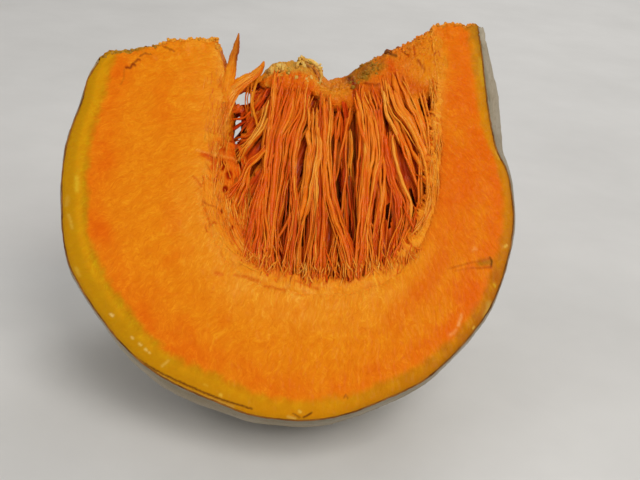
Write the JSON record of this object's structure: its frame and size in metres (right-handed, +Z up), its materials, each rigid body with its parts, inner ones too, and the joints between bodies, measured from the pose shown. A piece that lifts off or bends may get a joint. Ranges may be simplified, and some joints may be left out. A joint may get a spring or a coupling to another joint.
{
  "type": "kabocha squash, cut wedge",
  "caption": "Wedge cut lengthwise from a grey-skinned kabocha squash, seeded, with the torn orange strings still in its cavity.",
  "frame": {"origin": "centre of the bounding box, on the surface that the wedge rests on", "axes": "+Z up; +X along the fruit from the stem end towards the blossom end, which is lifted by 8.1 degrees; the front cut face looks towards -Y and 36 degrees up"},
  "size_m": [0.1378, 0.1234, 0.1226],
  "materials": {
    "squash_flesh": "moist cut flesh, orange, fibrous, yellow-olive under the skin",
    "squash_skin": "matt grey rind, finely scratched and mottled",
    "squash_strings": "wet seed strings and torn core, red-orange to pale orange"
  },
  "bodies": {
    "root": {"squash_wedge": "squash_flesh"}
  },
  "joints": []
}
